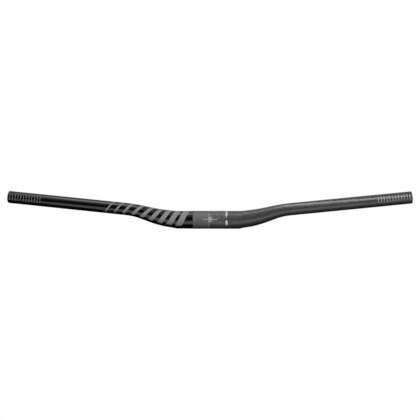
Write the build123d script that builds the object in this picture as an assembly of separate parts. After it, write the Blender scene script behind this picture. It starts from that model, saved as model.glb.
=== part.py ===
"""Riser handlebar: one moulded, hollow bar with a clamp seat in the middle and a swept grip at each end.

Millimetres. The origin is the middle of the clamp seat, +X runs along the bar, +Y is towards the
rider and +Z is up. The half on the +X side is drawn, and the other half is its mirror image.
"""

from build123d import *
from math import ceil, cos, radians, sin, tan
import os

# Overall size
BAR_WIDTH = 720.0  # from end to end along X, on the centre line
GRIP_DIAMETER = 22.2
GRIP_WALL = 2.4
END_ROUND = 1.2  # outer rim of each open end
BORE_CHAMFER = 0.6  # inner rim of each open end

# Clamp seat, a straight cylinder that stands a little proud of the tube
CLAMP_DIAMETER = 31.8
CLAMP_LENGTH = 112.0
CLAMP_STEP = 0.8  # from the seat's radius down to the tube's
RAMP_ANGLE = 15.0  # slope of the cone that leads from the seat down to the tube
BODY_WALL = 2.6  # of the tube beside the seat

# Bends, followed from the middle outwards
BEND_LEAD = 16.0  # how far inside the seat's end the lower bend starts
LOWER_BEND_RADIUS = 215.0
RISE_ANGLE = 16.3
RISE_RUN = 15.0  # straight between the two bends
UPPER_BEND_RADIUS = 130.0
UPSWEEP_ANGLE = 5.0
BACKSWEEP_ANGLE = 9.0

# Taper, measured along the centre line
TAPER_OFFSET = 8.0  # from the seat's end to the start of the taper
TAPER_LENGTH = 78.0
SECTION_PITCH = 7.0  # between the sections that shape the bent tube

clamp_radius = CLAMP_DIAMETER / 2
clamp_half = CLAMP_LENGTH / 2
body_radius = clamp_radius - CLAMP_STEP
body_bore = body_radius - BODY_WALL
grip_radius = GRIP_DIAMETER / 2
grip_bore = grip_radius - GRIP_WALL


def heading(elevation, backsweep):
    """The direction out along +X that climbs and turns back by these angles."""
    level = cos(radians(elevation))
    return Vector(level * cos(radians(backsweep)), level * sin(radians(backsweep)), sin(radians(elevation)))


# Headings of the three straight runs, and the turns between them
middle_heading = heading(0, 0)
rise_heading = heading(RISE_ANGLE, 0)
grip_heading = heading(UPSWEEP_ANGLE, BACKSWEEP_ANGLE)
lower_turn = radians(middle_heading.get_angle(rise_heading))
upper_turn = radians(rise_heading.get_angle(grip_heading))

# Corners of the centre line, each as far out as its bend needs
lower_bend_start = clamp_half - BEND_LEAD
lower_setback = LOWER_BEND_RADIUS * tan(lower_turn / 2)
upper_setback = UPPER_BEND_RADIUS * tan(upper_turn / 2)
lower_corner = middle_heading * (lower_bend_start + lower_setback)
upper_corner = lower_corner + rise_heading * (lower_setback + RISE_RUN + upper_setback)
bar_end = upper_corner + grip_heading * ((BAR_WIDTH / 2 - upper_corner.X) / grip_heading.X)
centre_line = FilletPolyline(
    Vector(0, 0, 0), lower_corner, upper_corner, bar_end, radius=[LOWER_BEND_RADIUS, UPPER_BEND_RADIUS]
)

# Distances along the centre line from the middle of the bar
rise_start = lower_bend_start + LOWER_BEND_RADIUS * lower_turn
upper_bend_end = rise_start + RISE_RUN + UPPER_BEND_RADIUS * upper_turn
taper_start = clamp_half + TAPER_OFFSET
grip_start = max(upper_bend_end, taper_start + TAPER_LENGTH)


def tapered(distance, body, grip):
    """A radius that eases from its value beside the clamp seat to its value at the grip."""
    share = min(max((distance - taper_start) / TAPER_LENGTH, 0), 1)
    return body + (grip - body) * share**2 * (3 - 2 * share)


def cross_plane(distance):
    """The plane square to the centre line that faces outwards."""
    spot = centre_line.position_at(distance, position_mode=PositionMode.LENGTH)
    outwards = centre_line.tangent_at(distance, position_mode=PositionMode.LENGTH)
    return Plane(origin=spot, x_dir=(0, 0, 1), z_dir=outwards)


def arm(body, grip):
    """A solid round arm, with these radii, from the start of the lower bend to the bar's end."""
    bent_length = grip_start - lower_bend_start
    spans = ceil(bent_length / SECTION_PITCH)
    distances = [lower_bend_start + bent_length * step / spans for step in range(spans + 1)]
    bent = loft([cross_plane(distance) * Circle(tapered(distance, body, grip)) for distance in distances])
    straight = extrude(cross_plane(grip_start) * Circle(grip), amount=centre_line.length - grip_start)
    return bent + straight


def outer_arm():
    """The outside of one arm, with the rim of its open end rounded."""
    plain = arm(body_radius, grip_radius)
    end_face = plain.faces().sort_by(Axis((0, 0, 0), grip_heading))[-1]
    return fillet(end_face.edges(), END_ROUND)


def arm_bore():
    """The hollow of one arm, which flares at the open end."""
    mouth = Plane(origin=bar_end - grip_heading * BORE_CHAMFER, z_dir=grip_heading)
    on_mouth = (Align.CENTER, Align.CENTER, Align.MIN)
    flare = mouth * Cone(grip_bore, grip_bore + BORE_CHAMFER, BORE_CHAMFER, align=on_mouth)
    return arm(body_bore, grip_bore) + flare


def clamp_seat():
    """The straight seat, with a cone at each end that runs down into the wall of the tube."""
    tip = clamp_half + (CLAMP_STEP + BODY_WALL) / tan(radians(RAMP_ANGLE))
    outline = Polyline(
        (-tip, 0),
        (-tip, body_bore),
        (-clamp_half, clamp_radius),
        (clamp_half, clamp_radius),
        (tip, body_bore),
        (tip, 0),
        close=True,
    )
    return revolve(make_face(outline), axis=Axis.X)


def middle_bore():
    """The hollow between the two lower bends."""
    return Rotation(0, 90, 0) * Cylinder(body_bore, 2 * lower_bend_start)


def both_sides(half):
    """A +X half together with its mirror image."""
    return half + mirror(half, about=Plane.YZ)


handlebar = clamp_seat() + both_sides(outer_arm()) - (middle_bore() + both_sides(arm_bore()))

os.makedirs("parts", exist_ok=True)
export_step(handlebar, "parts/handlebar.step")
print("bends end", round(upper_bend_end, 1), "grip starts", round(grip_start, 1), "of", round(centre_line.length, 1))
print("bar end", bar_end, "volume", round(handlebar.volume), "solids", len(handlebar.solids()))
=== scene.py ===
# %% [markdown]
# # A riser handlebar
# This lesson dresses one moulded carbon bar: a straight clamp seat in the middle, a rise on each side and
# two swept grip ends. The bar is one piece, so nearly all of its looks come from two things: a surface that
# follows the bends exactly, and finishes that answer light as lacquer, matt carbon and ink do.
# The imported model is the fixed frame. It stays in the scene, hidden at the end once the dressed bar stands
# in for it. Lengths are in metres.

# %% Load the frame
import math

import bpy
from mathutils import Matrix, Vector


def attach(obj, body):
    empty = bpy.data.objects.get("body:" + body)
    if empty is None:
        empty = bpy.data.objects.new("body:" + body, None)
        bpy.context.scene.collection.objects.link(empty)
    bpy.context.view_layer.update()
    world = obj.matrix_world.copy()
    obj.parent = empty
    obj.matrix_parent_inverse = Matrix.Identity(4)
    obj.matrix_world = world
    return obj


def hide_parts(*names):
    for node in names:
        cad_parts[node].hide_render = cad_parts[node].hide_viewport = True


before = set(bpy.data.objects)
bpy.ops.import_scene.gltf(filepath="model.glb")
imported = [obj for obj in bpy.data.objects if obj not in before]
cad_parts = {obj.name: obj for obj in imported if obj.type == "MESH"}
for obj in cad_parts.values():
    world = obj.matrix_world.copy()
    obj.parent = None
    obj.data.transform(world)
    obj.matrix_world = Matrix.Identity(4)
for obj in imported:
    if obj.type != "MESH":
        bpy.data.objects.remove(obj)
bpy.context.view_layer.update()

# %% [markdown]
# ## The camera
# The photographer stood far back with a long lens, a little above the bar and a little to the right of its
# middle. The lens follows from the scale at the clamp seat, and the clamp seat's place in the picture gives
# the aim. A camera's own axes are right, up and backwards, so its matrix is built from those three.

# %% Camera
IMAGE_SIZE = 420  # pixels each way
SEAT_PIXEL = (207.94, 219.77)  # where the middle of the clamp seat shows
PIXELS_PER_METRE = 566.48  # at the clamp seat
VIEW_DISTANCE = 2.8
VIEW_AZIMUTH = math.radians(2.92)
VIEW_ELEVATION = math.radians(4.0)
VIEW_ROLL = math.radians(0.11)


def make_camera():
    """A camera that sees the clamp seat at its place in the picture."""
    level = Vector((-math.sin(VIEW_AZIMUTH), math.cos(VIEW_AZIMUTH), 0))
    sideways = Vector((math.cos(VIEW_AZIMUTH), math.sin(VIEW_AZIMUTH), 0))
    forwards = level * math.cos(VIEW_ELEVATION) - Vector((0, 0, math.sin(VIEW_ELEVATION)))
    upright = sideways.cross(forwards)
    right = sideways * math.cos(VIEW_ROLL) - upright * math.sin(VIEW_ROLL)
    up = sideways * math.sin(VIEW_ROLL) + upright * math.cos(VIEW_ROLL)
    across = (SEAT_PIXEL[0] - IMAGE_SIZE / 2) / PIXELS_PER_METRE
    above = (IMAGE_SIZE / 2 - SEAT_PIXEL[1]) / PIXELS_PER_METRE
    place = -(right * across + up * above + forwards * VIEW_DISTANCE)
    turn = Matrix((right, up, -forwards)).transposed()
    camera = bpy.data.objects.new("camera", bpy.data.cameras.new("camera"))
    camera.data.lens = camera.data.sensor_width * PIXELS_PER_METRE * VIEW_DISTANCE / IMAGE_SIZE
    camera.matrix_world = Matrix.Translation(place) @ turn.to_4x4()
    bpy.context.collection.objects.link(camera)
    return camera


scene = bpy.context.scene
scene.camera = make_camera()
scene.view_settings.view_transform = "Standard"
print("lens", round(scene.camera.data.lens, 1), "mm, camera at", scene.camera.matrix_world.translation)

# %% [markdown]
# ## Building node trees in a few words
# Materials and Geometry Nodes are both node trees. These helpers add a node, set its options, and give each
# socket either a plain value or another node's output, so that a tree reads as a list of steps.

# %% Node helpers


def feed(tree, socket, source):
    """Gives a socket a plain value or another node's output."""
    if isinstance(source, bpy.types.NodeSocket):
        tree.links.new(source, socket)
    else:
        socket.default_value = source


def add(tree, kind, sources, **options):
    """A node of this kind; sources maps a socket's name or number to what feeds it."""
    node = tree.nodes.new(kind)
    for option, value in options.items():
        setattr(node, option, value)
    for key, source in sources.items():
        feed(tree, node.inputs[key], source)
    return node


def set_shader(tree, shader, **sources):
    """Feeds a shader's sockets, named with _ for each space."""
    for key, source in sources.items():
        feed(tree, shader.inputs[key.replace("_", " ")], source)


def calc(tree, operation, *values):
    """The result of one Math node."""
    return add(tree, "ShaderNodeMath", dict(enumerate(values)), operation=operation).outputs[0]


def vector_calc(tree, operation, *values):
    """The result of one Vector Math node that gives a vector."""
    node = add(tree, "ShaderNodeVectorMath", dict(enumerate(values)), operation=operation)
    return node.outputs["Vector"]


def scaled(tree, vector, amount):
    """A vector times a number."""
    node = add(tree, "ShaderNodeVectorMath", {0: vector, "Scale": amount}, operation="SCALE")
    return node.outputs["Vector"]


def parts_of(tree, vector):
    """The X, Y and Z of a vector."""
    return add(tree, "ShaderNodeSeparateXYZ", {0: vector}).outputs


def joined(tree, x, y, z):
    """A vector from its X, Y and Z."""
    return add(tree, "ShaderNodeCombineXYZ", {0: x, 1: y, 2: z}).outputs[0]


# %% [markdown]
# ## The studio
# The backdrop is pure white, yet the lacquer reflects a dark room with a few bright bands. A photographer
# gets that with a white sweep behind the bar, and black flags that keep the rest of the room out of the
# gloss. The same set is built here. Sweep and world are plain white to camera, glossy and transmission rays
# only. Other rays meet plain paper and a dim room, so the white doesn't light the bar. One bent flag covers
# the floor, the front and the ceiling, and is hidden from the camera.

# %% Sweep and flag
SET_WIDTH = 9.0  # of the sweep and the flag, along the bar
SWEEP_PROFILE = [(5.2, -1.5), (6.0, -1.5), (6.6, -1.3), (6.9, -0.8), (7.0, 0.0), (7.0, 3.0)]
FLAG_PROFILE = [(5.0, -2.0), (-3.6, -2.0), (-3.6, 4.4), (4.0, 4.4)]
WHITE = (1, 1, 1, 1)
PAPER_COLOUR = (0.8, 0.8, 0.8, 1)
CLOTH_COLOUR = (0.03, 0.03, 0.03, 1)


def sheet_along_bar(name, profile, material):
    """A sheet as wide as the set, bent to a profile of (y, z) points."""
    corners = [(side * SET_WIDTH / 2, y, z) for y, z in profile for side in (-1, 1)]
    faces = [(i, i + 1, i + 3, i + 2) for i in range(0, len(corners) - 2, 2)]
    mesh = bpy.data.meshes.new(name)
    mesh.from_pydata(corners, [], faces)
    mesh.materials.append(material)
    sheet = bpy.data.objects.new(name, mesh)
    bpy.context.collection.objects.link(sheet)
    return sheet


def white_to_rays(tree, white_kind, lit, output_kind):
    """Shows plain white to camera, glossy and transmission rays, and the lit shader to all others."""
    path = add(tree, "ShaderNodeLightPath", {}).outputs
    seen = calc(tree, "MAXIMUM", path["Is Camera Ray"], path["Is Glossy Ray"])
    seen = calc(tree, "MAXIMUM", seen, path["Is Transmission Ray"])
    white = add(tree, white_kind, {"Color": WHITE, "Strength": 1.0})
    mix = add(tree, "ShaderNodeMixShader", {0: seen, 1: lit.outputs[0], 2: white.outputs[0]})
    add(tree, output_kind, {"Surface": mix.outputs[0]})


paper = bpy.data.materials.new("sweep_paper")
paper.use_nodes = True
paper.node_tree.nodes.clear()
paper_diffuse = add(paper.node_tree, "ShaderNodeBsdfDiffuse", {"Color": PAPER_COLOUR})
white_to_rays(paper.node_tree, "ShaderNodeEmission", paper_diffuse, "ShaderNodeOutputMaterial")
sweep = sheet_along_bar("white_sweep", SWEEP_PROFILE, paper)

cloth = bpy.data.materials.new("flag_cloth")
cloth.use_nodes = True
cloth_shader = cloth.node_tree.nodes["Principled BSDF"]
set_shader(cloth.node_tree, cloth_shader, Base_Color=CLOTH_COLOUR, Roughness=1.0, Specular_IOR_Level=0.0)
flag = sheet_along_bar("black_flag", FLAG_PROFILE, cloth)
flag.visible_camera = False
print("stage", sweep.name, flag.name)

# %% World
ROOM_COLOUR = (0.9, 0.95, 1.0, 1)
ROOM_STRENGTH = 0.12

world = bpy.data.worlds.new("studio")
world.use_nodes = True
world.node_tree.nodes.clear()
room_air = add(world.node_tree, "ShaderNodeBackground", {"Color": ROOM_COLOUR, "Strength": ROOM_STRENGTH})
white_to_rays(world.node_tree, "ShaderNodeBackground", room_air, "ShaderNodeOutputWorld")
scene.world = world
print("world", world.name, len(world.node_tree.nodes), "nodes")

# %% [markdown]
# ## The lamps
# Each band of light on a polished bar is the mirror image of a lamp. So a lamp is placed by where its
# image lies: a range of elevations round the bar and a stretch along it. Boxes overhead give the upper
# band, which is brightest over the left rise and dimmer towards the grip and over the seat. A low strip in
# two levels gives the lower band, and a back strip serves the far side. On the right, a narrow key leans
# close over the bar, with a weak glow below it and a small box over the bend, so that a thin line of light
# runs along the carbon. All of these show in the gloss only. Two broad fills, front and back, light the bar
# and stay out of the gloss, because they would blot out the black of the lacquer.

# %% Lamps
LAMP_DISTANCE = 1.5
KEY_DISTANCE = 0.75
KEY_LEAN = 33.0  # degrees
BEND_DISTANCE = 0.4
LONG = 2.8  # how far a long box reaches to either side
LOW = (-54, -9)  # elevations of the low strip
FILL = (-2.0, 2.0)  # ends of both fills


def soft_box(name, elevations, ends, radiance, in_gloss, lean=0.0, distance=LAMP_DISTANCE):
    """A lamp at a distance from the bar's axis, for the gloss to show or only to light the bar.

    It fills these elevations in degrees, as seen from the bar, where 0 is straight ahead and 90 is
    overhead, and reaches from one end to the other along the bar, before it leans over in its own plane by
    some degrees. Its radiance is 1 if it looks as bright as white paper.
    """
    low, high = (math.radians(elevation) for elevation in elevations)
    middle = (low + high) / 2
    depth = 2 * distance * math.tan((high - low) / 2)
    width = ends[1] - ends[0]
    towards = Vector((0, -math.cos(middle), math.sin(middle)))
    lamp = bpy.data.lights.new(name, "AREA")
    lamp.shape = "RECTANGLE"
    lamp.size = width
    lamp.size_y = depth
    lamp.energy = radiance * math.pi * width * depth
    box = bpy.data.objects.new(name, lamp)
    place = towards * distance + Vector(((ends[0] + ends[1]) / 2, 0, 0))
    turn = Matrix((Vector((1, 0, 0)), towards.cross(Vector((1, 0, 0))), towards)).transposed()
    turn = turn @ Matrix.Rotation(math.radians(lean), 3, "Z")
    box.matrix_world = Matrix.Translation(place) @ turn.to_4x4()
    box.visible_camera = False
    box.visible_glossy = in_gloss
    box.visible_diffuse = not in_gloss
    bpy.context.collection.objects.link(box)
    print(name, "at", tuple(round(v, 2) for v in place), "gives", round(lamp.energy, 1), "W")


soft_box("overhead_front", (69, 94), (-0.66, -0.38), 3.4, in_gloss=True)
soft_box("overhead_seat", (69, 94), (-0.38, -0.10), 3.0, in_gloss=True)
soft_box("overhead_back", (94, 112), (-0.66, -0.10), 1.5, in_gloss=True)
soft_box("overhead_middle", (70, 130), (-0.10, 0.25), 0.55, in_gloss=True)
soft_box("overhead_left", (69, 104), (-LONG, -0.66), 1.55, in_gloss=True)
soft_box("overhead_right", (104, 140), (0.25, LONG), 0.5, in_gloss=True)
soft_box("overhead_spill", (46, 69), (-LONG, LONG), 0.6, in_gloss=True)
soft_box("key_right", (28, 98), (0.335, 0.455), 8.4, in_gloss=True, lean=KEY_LEAN, distance=KEY_DISTANCE)
soft_box("key_glow", (42, 68), (0.36, 0.53), 1.8, in_gloss=True)
soft_box("key_bend", (58, 98), (0.075, 0.20), 2.9, in_gloss=True, distance=BEND_DISTANCE)
soft_box("low_strip", LOW, (-1.10, LONG), 1.3, in_gloss=True)
soft_box("low_left", LOW, (-LONG, -1.10), 0.6, in_gloss=True)
soft_box("front_fill", (10, 45), FILL, 3.9, in_gloss=False)
soft_box("back_strip", (172, 196), (-LONG, LONG), 1.2, in_gloss=True)
soft_box("back_fill", (140, 175), FILL, 3.0, in_gloss=False)

# %% [markdown]
# ## The bar's axis
# A bar like this is described by a bending table: straight runs, bend radii and angles. The axis is drawn
# as a line with six corners, and each corner keeps its bend radius. The Fillet Curve node then rounds them,
# which gives true arcs and needs no list of points along the bends.

# %% Bending table
BAR_WIDTH = 0.720
LOWER_BEND_START = 0.040
LOWER_BEND_RADIUS = 0.215
RISE_ANGLE = math.radians(16.3)
RISE_RUN = 0.015
UPPER_BEND_RADIUS = 0.130
UPSWEEP_ANGLE = math.radians(5.0)
BACKSWEEP_ANGLE = math.radians(9.0)


def heading(elevation, backsweep):
    """The direction out along +X that climbs and turns back by these angles."""
    level = math.cos(elevation)
    return Vector((level * math.cos(backsweep), level * math.sin(backsweep), math.sin(elevation)))


rise_heading = heading(RISE_ANGLE, 0)
grip_heading = heading(UPSWEEP_ANGLE, BACKSWEEP_ANGLE)
upper_turn = rise_heading.angle(grip_heading)
lower_setback = LOWER_BEND_RADIUS * math.tan(RISE_ANGLE / 2)
upper_setback = UPPER_BEND_RADIUS * math.tan(upper_turn / 2)
lower_corner = Vector((LOWER_BEND_START + lower_setback, 0, 0))
upper_corner = lower_corner + rise_heading * (lower_setback + RISE_RUN + upper_setback)
grip_run = (BAR_WIDTH / 2 - upper_corner.x) / grip_heading.x - upper_setback
bar_end = upper_corner + grip_heading * (grip_run + upper_setback)
lower_bend_end = LOWER_BEND_START + LOWER_BEND_RADIUS * RISE_ANGLE
bends_end = lower_bend_end + RISE_RUN + UPPER_BEND_RADIUS * upper_turn
half_length = bends_end + grip_run
print("bends end", round(bends_end, 4), "half length", round(half_length, 4), "bar end", bar_end)

# %% Axis line


def axis_line():
    """A curve through the six corners of the axis, with each bend's radius on its corner."""
    curve = bpy.data.curves.new("bar_axis", "CURVE")
    curve.dimensions = "3D"
    spline = curve.splines.new("POLY")
    right_half = [(lower_corner, LOWER_BEND_RADIUS), (upper_corner, UPPER_BEND_RADIUS), (bar_end, 0)]
    left_half = [(Vector((-spot.x, spot.y, spot.z)), radius) for spot, radius in reversed(right_half)]
    corners = left_half + right_half
    spline.points.add(len(corners) - 1)
    for point, (spot, radius) in zip(spline.points, corners):
        point.co = (*spot, 1)
        point.radius = radius
    line = bpy.data.objects.new("bar_axis", curve)
    bpy.context.collection.objects.link(line)
    return line


bar_axis = axis_line()
print("axis corners", [tuple(round(v, 4) for v in p.co[:3]) for p in bar_axis.data.splines[0].points])

# %% [markdown]
# ## The wall
# Cut along its axis, the bar's wall is one closed outline: outside from end to end, over a rounded rim,
# through a small chamfer and back along the bore. X is the distance along the axis and Y the radius. Z is 1
# on the outside, so that later steps can tell it from the bore. Stations lie closest together where the
# seat's ramp meets the tube, and close in the bends.

# %% Taper and stations
TAPER_START = 0.064
TAPER_LENGTH = 0.078


def tapered(distance, body, grip):
    """A radius that eases from its value beside the seat to its value at the grip."""
    share = min(max((distance - TAPER_START) / TAPER_LENGTH, 0), 1)
    return body + (grip - body) * share**2 * (3 - 2 * share)


def stations(stretches):
    """Distances along the axis from stretches of (start, end, pitch)."""
    spots = []
    for start, end, pitch in stretches:
        steps = max(1, round((end - start) / pitch))
        spots += [start + (end - start) * step / steps for step in range(steps)]
    return spots


print("taper from", TAPER_START, "to", TAPER_START + TAPER_LENGTH, "along the axis")

# %% Wall outline
BODY_RADIUS = 0.0151
BODY_BORE = 0.0125
GRIP_RADIUS = 0.0111
GRIP_BORE = 0.0087
END_ROUND = 0.0012
BORE_CHAMFER = 0.0006
RIM_STEPS = 12
LACQUER_EDGE = -0.0258  # where the gloss lacquer stops, along the axis
FINE_START = 0.048  # the seat's ramp lies between these two
FINE_END = 0.078


def wall_outline():
    """Points (distance, radius, outside) once round the wall's outline."""
    rim_start = half_length - END_ROUND
    rim_middle = GRIP_RADIUS - END_ROUND
    outer = stations([
        (0, -LACQUER_EDGE, 0.009), (-LACQUER_EDGE, FINE_START, 0.006), (FINE_START, FINE_END, 0.0005),
        (FINE_END, bends_end, 0.002), (bends_end, rim_start, 0.012),
    ])
    inner = stations([
        (0, LOWER_BEND_START, 0.01), (LOWER_BEND_START, bends_end, 0.003),
        (bends_end, half_length - BORE_CHAMFER, 0.012),
    ])
    half = [(spot, tapered(spot, BODY_RADIUS, GRIP_RADIUS), 1) for spot in outer]
    for step in range(RIM_STEPS + 1):
        turn = math.pi / 2 * step / RIM_STEPS
        half.append((rim_start + END_ROUND * math.sin(turn), rim_middle + END_ROUND * math.cos(turn), 1))
    half.append((half_length, GRIP_BORE + BORE_CHAMFER, 0))
    half.append((half_length - BORE_CHAMFER, GRIP_BORE, 0))
    half += [(spot, tapered(spot, BODY_BORE, GRIP_BORE), 0) for spot in reversed(inner)]
    mirrored = [(-spot, radius, side) for spot, radius, side in reversed(half[1:-1])]
    return half + mirrored


outline = wall_outline()
wall = bpy.data.objects.new("wall_outline", bpy.data.meshes.new("wall_outline"))
wall.data.from_pydata(outline, [(i, i + 1) for i in range(len(outline) - 1)], [])
bpy.context.collection.objects.link(wall)
print("wall outline has", len(outline), "points")

# %% [markdown]
# ## Finishes
# The picture-left half is gloss black lacquer, smooth and deep, with only a trace of orange peel. The rest
# is carbon under a matt clear coat: dark grey, with fibres wound about 20 degrees to the axis, which glint
# a little where the light slides off. Patterns could be projected from one side, but then they would smear
# on the others. So they read an attribute of the bar itself: each point's place if the bar were
# straightened out, with X along the axis. The fibres follow the bends, and no seam shows.

# %% Finish helpers
UNBENT = "unbent"
MOST_NOISE = (0.34, 0.66)  # between these lie nearly all values of a noise
ALL_NOISE = (0.3, 0.7)


def new_finish(name):
    """A material with its shader and its coordinates on the straightened bar."""
    finish = bpy.data.materials.new(name)
    finish.use_nodes = True
    tree = finish.node_tree
    shader = tree.nodes["Principled BSDF"]
    spot = add(tree, "ShaderNodeAttribute", {}, attribute_name=UNBENT).outputs["Vector"]
    return finish, tree, shader, spot


def celled(tree, spot, length, breadth, wind=0.0):
    """Coordinates in cells of this length and breadth, wound round the bar by some radians a metre."""
    turn = calc(tree, "MULTIPLY", parts_of(tree, spot)[0], wind)
    wound = add(
        tree, "ShaderNodeVectorRotate", {"Vector": spot, "Angle": turn}, rotation_type="X_AXIS"
    ).outputs[0]
    return vector_calc(tree, "DIVIDE", wound, (length, breadth, breadth))


def cloud(tree, place, detail=2.0, roughness=0.5):
    """Soft noise from 0 to 1."""
    sources = {"Vector": place, "Scale": 1.0, "Detail": detail, "Roughness": roughness}
    return add(tree, "ShaderNodeTexNoise", sources).outputs["Fac"]


def ranged(tree, value, low, high, to_low, to_high):
    """A value moved from one range to another, and held inside it."""
    sources = {0: value, 1: low, 2: high, 3: to_low, 4: to_high}
    return add(tree, "ShaderNodeMapRange", sources).outputs[0]


def blend_colour(tree, share, first, second):
    """A colour between two, each a colour or another node's output."""
    return add(tree, "ShaderNodeMix", {0: share, 6: first, 7: second}, data_type="RGBA").outputs[2]


def raised(tree, height, depth, over=None):
    """A normal from a height map, this many metres deep, over an earlier normal if there is one."""
    sources = {"Strength": 1.0, "Distance": depth, "Height": height}
    if over is not None:
        sources["Normal"] = over
    return add(tree, "ShaderNodeBump", sources).outputs[0]


# %% Gloss lacquer
LACQUER_DEEP = (0.0027, 0.0027, 0.0031, 1)
LACQUER_HAZY = (0.0044, 0.0044, 0.0048, 1)
LACQUER_ROUGHNESS = (0.07, 0.12)

lacquer, tree, shader, spot = new_finish("black_lacquer")
peel = cloud(tree, celled(tree, spot, length=0.006, breadth=0.004), detail=1.0)
haze = cloud(tree, celled(tree, spot, length=0.03, breadth=0.016), detail=4.0)
set_shader(
    tree, shader,
    Base_Color=blend_colour(tree, haze, LACQUER_DEEP, LACQUER_HAZY),
    Roughness=ranged(tree, haze, *ALL_NOISE, *LACQUER_ROUGHNESS),
    Normal=raised(tree, peel, depth=0.00002),
)
print(lacquer.name, len(tree.nodes), "nodes")

# %% Matt carbon
FIBRE_WIND = 27.0  # radians a metre, which is 20 degrees to the axis
CARBON_DARK = (0.021, 0.0208, 0.0224, 1)
CARBON_PALE = (0.064, 0.0635, 0.0672, 1)
COAT_ROUGHNESS = (0.18, 0.29)

carbon, tree, shader, spot = new_finish("matt_carbon")
tow_cells = celled(tree, spot, length=0.060, breadth=0.0030, wind=FIBRE_WIND)
fibre_cells = celled(tree, spot, length=0.012, breadth=0.0003, wind=FIBRE_WIND)
tows = cloud(tree, tow_cells, detail=3.0, roughness=0.6)
fibres = cloud(tree, fibre_cells, detail=2.0, roughness=0.6)
tow_share = ranged(tree, tows, *MOST_NOISE, 0.0, 0.5)
carbon_share = calc(tree, "ADD", tow_share, ranged(tree, fibres, *MOST_NOISE, 0.0, 0.5))
carbon_colour = blend_colour(tree, carbon_share, CARBON_DARK, CARBON_PALE)

glints = cloud(tree, celled(tree, spot, length=0.0022, breadth=0.0060), detail=3.0, roughness=0.6)
waves = cloud(tree, celled(tree, spot, length=0.0065, breadth=0.0090), detail=1.0)
coat_roughness = ranged(tree, glints, 0.36, 0.64, *COAT_ROUGHNESS)
coat_normal = raised(tree, fibres, depth=0.000006)
coat_normal = raised(tree, waves, depth=0.00013, over=coat_normal)
coat_normal = raised(tree, glints, depth=0.00004, over=coat_normal)
print(carbon.name, len(tree.nodes), "nodes so far")

# %% [markdown]
# ## Grit on the clamp zone
# The middle of the clamp seat is rougher and paler, because a gritty coat keeps the stem from slipping. It
# is the same carbon underneath, so the grit is mixed into that material by the distance along the axis. One
# half of the zone is covered evenly. On the other half the coat is thin and patchy, and a little glossier.

# %% Gritty clamp zone
GRIT_END = 0.035  # along the axis
GRIT_FADE = 0.004  # over which its colour stops
DULL_FADE = 0.032  # over which the gloss comes back
DULL_ROUGHNESS = 0.34  # on top of the clear coat's own
THIN_START = -0.001  # the grit gets thin between these two
THIN_END = 0.008
THIN_DULLNESS = 0.5  # of what the even half has
PATCH_EDGE = (0.46, 0.62)  # the thin grit is missing from blotches below, and stays on those above
GRIT_DARK = (0.045, 0.0447, 0.0477, 1)
GRIT_PALE = (0.125, 0.1245, 0.1305, 1)

along = parts_of(tree, spot)[0]
reach = calc(tree, "ABSOLUTE", along)
grit = ranged(tree, reach, GRIT_END - GRIT_FADE, GRIT_END, 1.0, 0.0)
thin_side = ranged(tree, along, THIN_START, THIN_END, 0.0, 1.0)
dull = ranged(tree, reach, GRIT_END, GRIT_END + DULL_FADE, 1.0, 0.0)
dull = calc(tree, "MULTIPLY", dull, ranged(tree, thin_side, 0.0, 1.0, 1.0, THIN_DULLNESS))

grains = cloud(tree, celled(tree, spot, length=0.0004, breadth=0.0004), detail=2.0, roughness=0.7)
blotches = cloud(tree, celled(tree, spot, length=0.0027, breadth=0.0027), detail=3.0, roughness=0.6)
blotch_share = ranged(tree, blotches, *MOST_NOISE, 0.0, 0.45)
grain_share = calc(tree, "ADD", blotch_share, ranged(tree, grains, *MOST_NOISE, 0.0, 0.55))
grit_colour = blend_colour(tree, grain_share, GRIT_DARK, GRIT_PALE)
missing = calc(tree, "MULTIPLY", thin_side, ranged(tree, blotches, *PATCH_EDGE, 1.0, 0.1))
coverage = calc(tree, "MULTIPLY", grit, calc(tree, "SUBTRACT", 1.0, missing))
set_shader(
    tree, shader,
    Base_Color=blend_colour(tree, coverage, carbon_colour, grit_colour),
    Roughness=calc(tree, "MULTIPLY_ADD", dull, DULL_ROUGHNESS, coat_roughness),
    Normal=raised(tree, calc(tree, "MULTIPLY", grains, grit), depth=0.00008, over=coat_normal),
)
print(carbon.name, len(tree.nodes), "nodes")

# %% [markdown]
# ## The bore
# Inside, a moulded bar shows the bag that pressed it: dark, half glossy and slightly folded along its
# length. Long narrow noise makes the folds, and the same noise varies the gloss.

# %% Bare bore
BORE_DARK = (0.008, 0.008, 0.008, 1)
BORE_PALE = (0.030, 0.030, 0.031, 1)
BORE_ROUGHNESS = (0.35, 0.6)

bore, tree, shader, spot = new_finish("bare_bore")
folds = cloud(tree, celled(tree, spot, length=0.016, breadth=0.0045), detail=4.0)
set_shader(
    tree, shader,
    Base_Color=blend_colour(tree, folds, BORE_DARK, BORE_PALE),
    Roughness=ranged(tree, folds, *ALL_NOISE, *BORE_ROUGHNESS),
    Normal=raised(tree, folds, depth=0.0002),
)
print(bore.name, len(tree.nodes), "nodes")

# %% [markdown]
# ## The shell
# The tube is a circle carried along the axis, with a radius that changes on the way, so its shape follows a
# rule and Geometry Nodes can make it. A grid has one column for each point of the wall's outline and one
# row for each step round the tube. Every grid point looks up its place on the outline, finds the axis there
# and moves out to its radius. A curve with a bevel would be quicker, but it has no bore and no rim.

# %% Tree helpers


def new_tree(name, inputs):
    """An empty Geometry Nodes tree with named inputs: the tree, its input sockets and its output node."""
    tree = bpy.data.node_groups.new(name, "GeometryNodeTree")
    tree.is_modifier = True
    tree.interface.new_socket("Geometry", in_out="OUTPUT", socket_type="NodeSocketGeometry")
    for label, kind in inputs.items():
        tree.interface.new_socket(label, in_out="INPUT", socket_type="NodeSocket" + kind)
    sockets = tree.nodes.new("NodeGroupInput").outputs
    return tree, sockets, tree.nodes.new("NodeGroupOutput")


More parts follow.
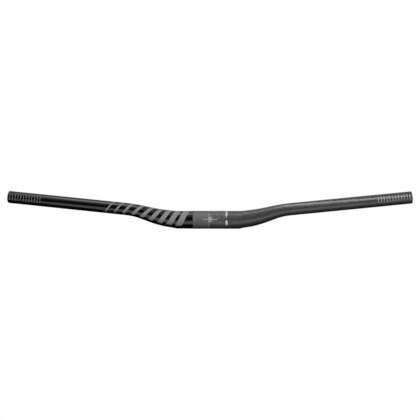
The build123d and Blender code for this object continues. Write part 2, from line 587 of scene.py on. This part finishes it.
def object_shape(tree, thing):
    """The geometry of an object that is an input of the tree."""
    return add(tree, "GeometryNodeObjectInfo", {"Object": thing}).outputs["Geometry"]


def position(tree):
    """Each point's own place."""
    return add(tree, "GeometryNodeInputPosition", {}).outputs[0]


def moved(tree, shape, place):
    """The shape with its points at new places."""
    return add(tree, "GeometryNodeSetPosition", {"Geometry": shape, "Position": place}).outputs[0]


def store(tree, shape, values):
    """The shape with each value kept on its points under its own name."""
    for label, value in values.items():
        shape = add(
            tree, "GeometryNodeStoreNamedAttribute", {"Geometry": shape, "Name": label, "Value": value},
            data_type="FLOAT_VECTOR" if value.type == "VECTOR" else "FLOAT", domain="POINT",
        ).outputs[0]
    return shape


def stored(tree, label):
    """A number that was kept on the points under this name."""
    return add(tree, "GeometryNodeInputNamedAttribute", {"Name": label}, data_type="FLOAT").outputs[0]


def smoothed(tree, shape, seam, sharp_angle):
    """The shape with points merged that lie closer than a seam, and only edges past an angle sharp."""
    shape = add(tree, "GeometryNodeMergeByDistance", {"Geometry": shape, "Distance": seam}).outputs[0]
    shape = add(tree, "GeometryNodeSetShadeSmooth", {0: shape}).outputs[0]
    edge = add(tree, "GeometryNodeInputMeshEdgeAngle", {}).outputs["Unsigned Angle"]
    sharp = calc(tree, "GREATER_THAN", edge, sharp_angle)
    sources = {0: shape, "Selection": sharp, "Shade Smooth": False}
    return add(tree, "GeometryNodeSetShadeSmooth", sources, domain="EDGE").outputs[0]


def painted(tree, shape, material, where=True):
    """The shape with a material on the faces where the selection is true."""
    sources = {0: shape, "Selection": where, "Material": material}
    return add(tree, "GeometryNodeSetMaterial", sources).outputs[0]


# %% Growing a piece


def grow(name, tree, **inputs):
    """Runs a tree on an empty object and keeps the result as a plain mesh."""
    piece = bpy.data.objects.new(name, bpy.data.meshes.new(name))
    bpy.context.collection.objects.link(piece)
    maker = piece.modifiers.new("maker", "NODES")
    maker.node_group = tree
    values = {label.replace("_", " "): value for label, value in inputs.items()}
    for item in tree.interface.items_tree:
        if item.in_out == "INPUT":
            maker[item.identifier] = values.pop(item.name)
    assert not values, values
    ready = piece.evaluated_get(bpy.context.evaluated_depsgraph_get())
    mesh = bpy.data.meshes.new_from_object(ready)
    if mesh.materials[0] is None:  # the slot that a grid starts with
        mesh.materials.pop(index=0)
    piece.modifiers.remove(maker)
    piece.data = mesh
    mesh.name = name
    print(name, len(mesh.vertices), "points", len(mesh.polygons), "faces", [m.name for m in mesh.materials])
    return piece


# %% Axis helpers
BEND_STEPS = 96  # points in each bend


def dot(tree, first, second):
    """The dot product of two vectors."""
    node = add(tree, "ShaderNodeVectorMath", {0: first, 1: second}, operation="DOT_PRODUCT")
    return node.outputs["Value"]


def place_on_axis(tree, corners, distance):
    """The axis's place and direction at a distance from the middle of the bar."""
    radius = add(tree, "GeometryNodeInputRadius", {}).outputs[0]
    sources = {"Curve": object_shape(tree, corners), "Radius": radius, "Count": BEND_STEPS}
    axis = add(tree, "GeometryNodeFilletCurve", sources, mode="POLY").outputs[0]
    total = add(tree, "GeometryNodeCurveLength", {0: axis}).outputs[0]
    length = calc(tree, "MULTIPLY_ADD", total, 0.5, distance)
    found = add(tree, "GeometryNodeSampleCurve", {"Curves": axis, "Length": length}, mode="LENGTH")
    return found.outputs["Position"], found.outputs["Tangent"]


def back_and_up(tree, direction):
    """The two directions square to the axis: level to the back, and up."""
    back = vector_calc(tree, "NORMALIZE", vector_calc(tree, "CROSS_PRODUCT", (0, 0, 1), direction))
    return back, vector_calc(tree, "CROSS_PRODUCT", direction, back)


def straightened(tree, distance, turn, radius):
    """A point's place if the bar were straight, with X along the axis."""
    across = calc(tree, "MULTIPLY", calc(tree, "COSINE", turn), radius)
    return joined(tree, distance, across, calc(tree, "MULTIPLY", calc(tree, "SINE", turn), radius))


# %% Grid and tube


def outline_grid(tree, given):
    """A flat grid whose points keep their place on the wall's outline and their turn round the tube."""
    points = given["outline points"]
    columns = calc(tree, "ADD", points, 1)
    rows = calc(tree, "ADD", given["facets"], 1)
    sources = {"Size X": 1, "Size Y": 1, "Vertices X": columns, "Vertices Y": rows}
    grid = add(tree, "GeometryNodeMeshGrid", sources).outputs["Mesh"]
    cell = parts_of(tree, position(tree))
    column = calc(tree, "ROUND", calc(tree, "MULTIPLY", calc(tree, "ADD", cell[0], 0.5), points))
    index = calc(tree, "MODULO", column, points)
    turn = calc(tree, "MULTIPLY", calc(tree, "ADD", cell[1], 0.5), math.tau)
    outline_spot = add(
        tree, "GeometryNodeSampleIndex",
        {0: object_shape(tree, given["outline"]), 1: position(tree), 2: index},
        data_type="FLOAT_VECTOR", domain="POINT",
    ).outputs[0]
    distance, radius, outside = parts_of(tree, outline_spot)
    return store(tree, grid, {
        UNBENT: straightened(tree, distance, turn, radius), "outside": outside, "distance": distance,
        "radius": radius, "turn": turn,
    })


def tube_place(tree, given):
    """Each point's place on the tube, with rings upright on the seat and square to the axis further out."""
    spot, direction = place_on_axis(tree, given["corners"], stored(tree, "distance"))
    reach = calc(tree, "ABSOLUTE", stored(tree, "distance"))
    square = add(
        tree, "ShaderNodeMapRange", {0: reach, 1: given["upright until"], 2: given["square from"]},
        interpolation_type="SMOOTHSTEP",
    ).outputs[0]
    lean = add(tree, "ShaderNodeMix", {0: square, 4: (1, 0, 0), 5: direction}, data_type="VECTOR")
    facing = vector_calc(tree, "NORMALIZE", lean.outputs[1])
    back, up = back_and_up(tree, facing)

    # An upright cut through a climbing tube is higher than it is wide
    up = scaled(tree, up, calc(tree, "DIVIDE", 1.0, dot(tree, facing, direction)))
    sideways = scaled(tree, back, calc(tree, "COSINE", stored(tree, "turn")))
    upwards = scaled(tree, up, calc(tree, "SINE", stored(tree, "turn")))
    arm = vector_calc(tree, "ADD", sideways, upwards)
    return vector_calc(tree, "ADD", spot, scaled(tree, arm, stored(tree, "radius")))


# %% [markdown]
# ## The clamp seat
# The seat is a straight cylinder, while the tube's axis already starts to climb inside it. So the outside
# is pushed out from the X axis to the seat's own radius wherever the tube lies deeper. Below, the seat ends
# at a corner with a ramp. On top it runs into the tube almost without a step. A smooth maximum of the two
# rounds the line where they meet, so no separate ring has to be joined to the tube.

# %% Seat
SEAT_RADIUS = 0.0159
SEAT_HALF = 0.056
SEAT_RAMP = math.tan(math.radians(15.0))
EDGE_ROUND = 0.003
TOP_SLOPE = 0.15  # of the ramp's full slope
DIVE_LENGTH = 0.012  # past the seat's end, after which the ramp gets steeper
SEAT_BLEND = 0.0012
TIGHT_BLEND = 0.0002
BLEND_LEAD = 3.0  # how many blends before the seat's end the softening starts
SQUARE_FROM = 0.085  # where rings stand square to the axis


def pushed_to_seat(tree, given, place):
    """A place on the tube, pushed out to the seat and its ramps if it is on the outside."""
    x, y, z = parts_of(tree, place)
    arm = add(tree, "ShaderNodeVectorMath", {0: joined(tree, 0.0, y, z)}, operation="LENGTH")
    away = arm.outputs["Value"]
    beyond = calc(tree, "SUBTRACT", calc(tree, "ABSOLUTE", x), given["seat half"])
    past = calc(tree, "SMOOTH_MAX", beyond, 0.0, given["edge round"])

    # The ramp has its full slope below, a slight one on top, and dives under the tube further out
    height = calc(tree, "DIVIDE", z, away)
    slope = ranged(tree, height, -1.0, 1.0, 1.0, given["top slope"])
    slope = calc(tree, "MAXIMUM", slope, calc(tree, "DIVIDE", past, given["dive length"]))
    fall = calc(tree, "MULTIPLY", calc(tree, "MULTIPLY", past, slope), given["seat ramp"])
    seat = calc(tree, "SUBTRACT", given["seat radius"], fall)

    # Seat and tube meet tightly on the seat and softly at its end
    blend = given["seat blend"]
    blend_start = calc(tree, "MULTIPLY", blend, -BLEND_LEAD)
    softness = ranged(tree, beyond, blend_start, 0.0, given["tight blend"], blend)
    full = calc(tree, "SMOOTH_MAX", away, seat, softness)
    push = calc(tree, "SUBTRACT", calc(tree, "DIVIDE", full, away), 1.0)
    push = calc(tree, "MULTIPLY_ADD", push, stored(tree, "outside"), 1.0)
    return joined(tree, x, calc(tree, "MULTIPLY", y, push), calc(tree, "MULTIPLY", z, push))


# %% Shell
FACETS_ROUND = 160
SEAM = 0.000004  # points closer than this are one
SHARP_ANGLE = math.radians(10.0)
OUTSIDE_SHARE = 0.7  # a face with less of its corners outside belongs to the bore


def shell_tree():
    """A wall outline turned about a bent axis, with a straight seat pushed out in the middle."""
    tree, given, result = new_tree("shell_on_axis", {
        "corners": "Object", "outline": "Object", "outline points": "Int", "facets": "Int",
        "seat radius": "Float", "seat half": "Float", "seat ramp": "Float", "edge round": "Float",
        "top slope": "Float", "dive length": "Float", "seat blend": "Float", "tight blend": "Float",
        "upright until": "Float", "square from": "Float", "lacquer edge": "Float",
        "lacquer": "Material", "carbon": "Material", "bore": "Material",
    })
    skin = pushed_to_seat(tree, given, tube_place(tree, given))
    shell = moved(tree, outline_grid(tree, given), skin)
    shell = add(tree, "GeometryNodeFlipFaces", {0: shell}).outputs[0]
    shell = smoothed(tree, shell, SEAM, SHARP_ANGLE)

    # Three finishes: carbon, lacquer up to its edge, and the bore
    shell = add(tree, "GeometryNodeRealizeInstances", {0: shell}).outputs[0]
    lacquered = calc(tree, "LESS_THAN", stored(tree, "distance"), given["lacquer edge"])
    inside = calc(tree, "LESS_THAN", stored(tree, "outside"), OUTSIDE_SHARE)
    shell = painted(tree, shell, given["carbon"])
    shell = painted(tree, shell, given["lacquer"], where=lacquered)
    shell = painted(tree, shell, given["bore"], where=inside)
    tree.links.new(shell, result.inputs[0])
    return tree


bar_shell = grow(
    "bar_shell", shell_tree(), corners=bar_axis, outline=wall, outline_points=len(outline),
    facets=FACETS_ROUND, seat_radius=SEAT_RADIUS, seat_half=SEAT_HALF, seat_ramp=SEAT_RAMP,
    edge_round=EDGE_ROUND, top_slope=TOP_SLOPE, dive_length=DIVE_LENGTH, seat_blend=SEAT_BLEND,
    tight_blend=TIGHT_BLEND, upright_until=SEAT_HALF, square_from=SQUARE_FROM, lacquer_edge=LACQUER_EDGE,
    lacquer=lacquer, carbon=carbon, bore=bore,
)

# %% [markdown]
# ## The print
# Ink is a film a few hundredths of a millimetre thick. It could be painted in the bar's material, but a
# film has a real edge and stays sharp in an export. Each mark starts as a flat strip, with X along the bar
# and Y round it, and may be broader in its belly than at its ends. The tree then looks from outside towards
# the axis, finds the bar's skin with a ray and lays the strip there, so that every mark follows the bends,
# the ramp and the taper. The film's underside sinks a little into the skin, so that no edge floats.

# %% Inks
MOTTLE_SHADE = 0.86  # the darkest mottling, as a share of the ink's colour
MOTTLE_ROUGHNESS = 0.12  # on top of the ink's own
INK_SPECULAR = 0.25


def new_ink(name, colour, roughness):
    """A printed film: a flat colour with fine mottling."""
    ink, tree, shader, spot = new_finish(name)
    mottle = cloud(tree, celled(tree, spot, length=0.0014, breadth=0.0014), detail=3.0)
    darker = tuple(channel * MOTTLE_SHADE for channel in colour) + (1,)
    set_shader(
        tree, shader,
        Base_Color=blend_colour(tree, mottle, darker, colour + (1,)),
        Roughness=ranged(tree, mottle, *ALL_NOISE, roughness, roughness + MOTTLE_ROUGHNESS),
        Specular_IOR_Level=INK_SPECULAR,
        Normal=raised(tree, mottle, depth=0.00001),
    )
    return ink


grey_ink = new_ink("grey_ink", (0.217, 0.217, 0.222), 0.42)
star_ink = new_ink("star_ink", (0.30, 0.30, 0.305), 0.42)
pale_ink = new_ink("pale_ink", (0.50, 0.50, 0.50), 0.42)
white_ink = new_ink("white_ink", (0.68, 0.68, 0.68), 0.45)
print("inks", grey_ink.name, star_ink.name, pale_ink.name, white_ink.name)

# %% Rows of strips
STRIP_ROWS = 41  # points along a strip


def between(tree, share, first, second):
    """A number between two."""
    return add(tree, "ShaderNodeMix", {0: share, 2: first, 3: second}).outputs[0]


def mark_strip(tree, given):
    """A flat strip, 1 high, whose width may differ at the low end, the high end and the belly."""
    sources = {"Size X": 1, "Size Y": 1, "Vertices X": given["columns"], "Vertices Y": STRIP_ROWS}
    strip = add(tree, "GeometryNodeMeshGrid", sources).outputs["Mesh"]
    cell = parts_of(tree, position(tree))
    climb = calc(tree, "ADD", cell[1], 0.5)
    ends = between(tree, climb, given["low end"], given["high end"])
    bulge = calc(tree, "MULTIPLY", climb, calc(tree, "SUBTRACT", 1.0, climb))
    bulge = calc(tree, "MAXIMUM", calc(tree, "MULTIPLY", bulge, 4.0), 0.0)
    bulge = calc(tree, "POWER", bulge, given["taper"])
    breadth = calc(tree, "MULTIPLY_ADD", bulge, given["belly"], ends)
    return moved(tree, strip, joined(tree, calc(tree, "MULTIPLY", cell[0], breadth), climb, 0.0))


def mark_row(tree, given, strip):
    """The strip repeated along a row, each one a step wider or narrower than the last."""
    row = add(
        tree, "GeometryNodeMeshLine",
        {"Count": given["marks"], "Start Location": joined(tree, given["first"], 0.0, 0.0),
         "Offset": joined(tree, given["pitch"], 0.0, 0.0)},
    ).outputs[0]
    number = add(tree, "GeometryNodeInputIndex", {}).outputs[0]
    wide = calc(tree, "MULTIPLY_ADD", number, given["width step"], given["width"])
    sources = {"Points": row, "Instance": strip, "Scale": joined(tree, wide, 1.0, 1.0)}
    marks = add(tree, "GeometryNodeInstanceOnPoints", sources).outputs[0]
    return add(tree, "GeometryNodeRealizeInstances", {0: marks}).outputs[0]


# %% Strips laid on the skin
RAY_START = 0.03  # from the axis
RAY_LENGTH = 0.05


def laid_on_skin(tree, given, marks):
    """Flat marks wrapped round the bar, each point where a ray towards the axis meets the skin."""
    flat = parts_of(tree, position(tree))
    low, high = given["low angle"], given["high angle"]
    angle = between(tree, flat[1], low, high)
    middle = calc(tree, "MULTIPLY", calc(tree, "ADD", low, high), 0.5)
    climbed = calc(tree, "MULTIPLY", calc(tree, "SUBTRACT", angle, middle), given["roller"])
    distance = calc(tree, "MULTIPLY_ADD", climbed, given["slant"], flat[0])
    marks = store(tree, marks, {
        UNBENT: straightened(tree, distance, angle, given["roller"]), "distance": distance, "turn": angle,
    })
    spot, direction = place_on_axis(tree, given["corners"], stored(tree, "distance"))
    back, up = back_and_up(tree, direction)
    upwards = scaled(tree, up, calc(tree, "SINE", stored(tree, "turn")))
    backwards = scaled(tree, back, calc(tree, "COSINE", stored(tree, "turn")))
    outwards = vector_calc(tree, "SUBTRACT", upwards, backwards)
    ray = add(tree, "GeometryNodeRaycast", {
        "Target Geometry": object_shape(tree, given["bar"]),
        "Source Position": vector_calc(tree, "ADD", spot, scaled(tree, outwards, RAY_START)),
        "Ray Direction": scaled(tree, outwards, -1.0), "Ray Length": RAY_LENGTH,
    }).outputs
    sunk = scaled(tree, ray["Hit Normal"], given["sink"])
    return moved(tree, marks, vector_calc(tree, "SUBTRACT", ray["Hit Position"], sunk))


# %% Print tree
FILM_SEAM = 0.000001
FILM_SHARP_ANGLE = math.radians(40.0)


def print_tree():
    """A row of printed strips laid on the bar; angles are measured from the front upwards."""
    tree, given, result = new_tree("print_on_bar", {
        "corners": "Object", "bar": "Object", "marks": "Int", "columns": "Int", "first": "Float",
        "pitch": "Float", "width": "Float", "width step": "Float", "low angle": "Float",
        "high angle": "Float", "slant": "Float", "low end": "Float", "high end": "Float", "belly": "Float",
        "taper": "Float", "sink": "Float", "thickness": "Float", "roller": "Float", "ink": "Material",
    })
    face = laid_on_skin(tree, given, mark_row(tree, given, mark_strip(tree, given)))

    # Give the film its thickness and close its underside
    sources = {"Mesh": face, "Offset Scale": given["thickness"], "Individual": False}
    top = add(tree, "GeometryNodeExtrudeMesh", sources).outputs[0]
    underside = add(tree, "GeometryNodeFlipFaces", {0: face}).outputs[0]
    both = tree.nodes.new("GeometryNodeJoinGeometry")
    tree.links.new(top, both.inputs[0])
    tree.links.new(underside, both.inputs[0])
    film = smoothed(tree, both.outputs[0], FILM_SEAM, FILM_SHARP_ANGLE)
    film = add(tree, "GeometryNodeRealizeInstances", {0: film}).outputs[0]
    tree.links.new(painted(tree, film, given["ink"]), result.inputs[0])
    return tree


printer = print_tree()
print(printer.name, len(printer.nodes), "nodes")

# %% [markdown]
# ## Marks beside the seat
# Near each end a row of fine ticks, about 5 mm apart, shows where the bar may be cut shorter. The
# lacquered half carries a plain graphic: slanted grey bars that thin out towards the grip. Both are rows of
# one strip, so one call makes each of them.

# %% Cut marks and graphic
FILM_STEP = 0.00003  # how far each layer of ink stands out
FILM_SINK = 0.00002  # how far its underside lies in the skin
ROLLER_RADIUS = 0.0135  # turns an angle round the bar into a length
TICK_WIDTH = 0.0008
CUT_PITCH = 0.00517
CUT_COUNT = 12
CUT_INSET = 0.005  # from the bar's end to the first tick
BARS_START = -0.0437
BARS_PITCH = 0.0164
BARS_COUNT = 9
BARS_WIDTH = 0.0110  # of the first one


def printed(name, ink, first, width, angles, pitch=0.0, count=1, columns=3, width_step=0.0, slant=0.0,
            low_end=1.0, high_end=1.0, belly=0.0, taper=0.5, layer=1):
    """One mark or a row of them in one ink, between two angles in degrees."""
    low_angle, high_angle = (math.radians(angle) for angle in angles)
    return grow(
        name, printer, corners=bar_axis, bar=bar_shell, ink=ink, first=first, pitch=pitch, marks=count,
        columns=columns, width=width, width_step=width_step, low_angle=low_angle, high_angle=high_angle,
        slant=slant, low_end=low_end, high_end=high_end, belly=belly, taper=taper, roller=ROLLER_RADIUS,
        sink=FILM_SINK, thickness=FILM_SINK + FILM_STEP * layer,
    )


first_cut = half_length - CUT_INSET
marks = [
    printed("cut_marks_right", grey_ink, -first_cut, TICK_WIDTH, (-24, 36), pitch=CUT_PITCH,
            count=CUT_COUNT),
    printed("cut_marks_left", pale_ink, first_cut, TICK_WIDTH, (-10, 42), pitch=-CUT_PITCH,
            count=CUT_COUNT),
    printed("slanted_bars", grey_ink, BARS_START, BARS_WIDTH, (-38, 74), pitch=-BARS_PITCH,
            count=BARS_COUNT, columns=57, width_step=-0.0010, slant=0.55),
]
print("printed", len(marks), "rows beside the seat")

# %% [markdown]
# ## Marks on the seat
# A hairline, a small star of eight rays and a short scale find the middle of the seat, and two white
# strokes mark the turn of the bar in its stem. Each stroke and ray is a strip with narrow ends and a broad
# belly. Two opposite rays are one strip, and each pair lies a layer above the last, so that no two films
# fill the same place.

# %% Seat marks
UPPER_STROKE = 0.0333  # along the axis, as are the next three
LOWER_STROKE = 0.0335
HAIRLINE = 0.0020
STAR = 0.0048
HAIRLINE_WIDTH = 0.0006
SCALE_GAP = 0.0072  # from the star's middle to the nearest tick
SCALE_PITCH = 0.0020
SCALE_COUNT = 3
POINTED = {"low_end": 0.02, "high_end": 0.02, "belly": 0.98, "taper": 1.5}
scale_length = SCALE_PITCH * (SCALE_COUNT - 1)

marks += [
    printed("turn_mark_upper", pale_ink, UPPER_STROKE, 0.0037, (15, 80), low_end=0.06, high_end=0.12,
            belly=0.91, taper=1.5),
    printed("turn_mark_lower", white_ink, LOWER_STROKE, 0.0038, (-35, 2), low_end=0.05, high_end=0.05,
            belly=0.95),
    printed("middle_line", pale_ink, HAIRLINE, HAIRLINE_WIDTH, (-66, 68), high_end=0.4),
]
for name, first in (("near", STAR - SCALE_GAP - scale_length), ("far", STAR + SCALE_GAP)):
    marks.append(
        printed("middle_scale_" + name, pale_ink, first, TICK_WIDTH, (2.5, 11.5), pitch=SCALE_PITCH,
                count=SCALE_COUNT)
    )
marks += [
    printed("middle_ray_level", star_ink, STAR, 0.0125, (-3, 17), low_end=0.0, high_end=0.0, belly=1.0,
            taper=2.5, layer=2),
    printed("middle_ray_upright", star_ink, STAR, 0.0040, (-20, 35), layer=3, **POINTED),
    printed("middle_ray_rising", star_ink, STAR, 0.0044, (-10, 24), slant=1.0, layer=4, **POINTED),
    printed("middle_ray_falling", star_ink, STAR, 0.0044, (-10, 24), slant=-1.0, layer=5, **POINTED),
]
print("printed", len(marks), "rows of marks")

# %% [markdown]
# ## Riding on the frame
# The shell stands for the CAD node, which stays in the physics model. The marks ride on the same body. The
# two drawing aids, the axis and the wall's outline, aren't part of the bar, so they go.

# %% Ride, replace and finish
for aid in (bar_axis, wall):
    bpy.data.objects.remove(aid)
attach(bar_shell, "root")
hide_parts("handlebar")
for mark in marks:
    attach(mark, "root")
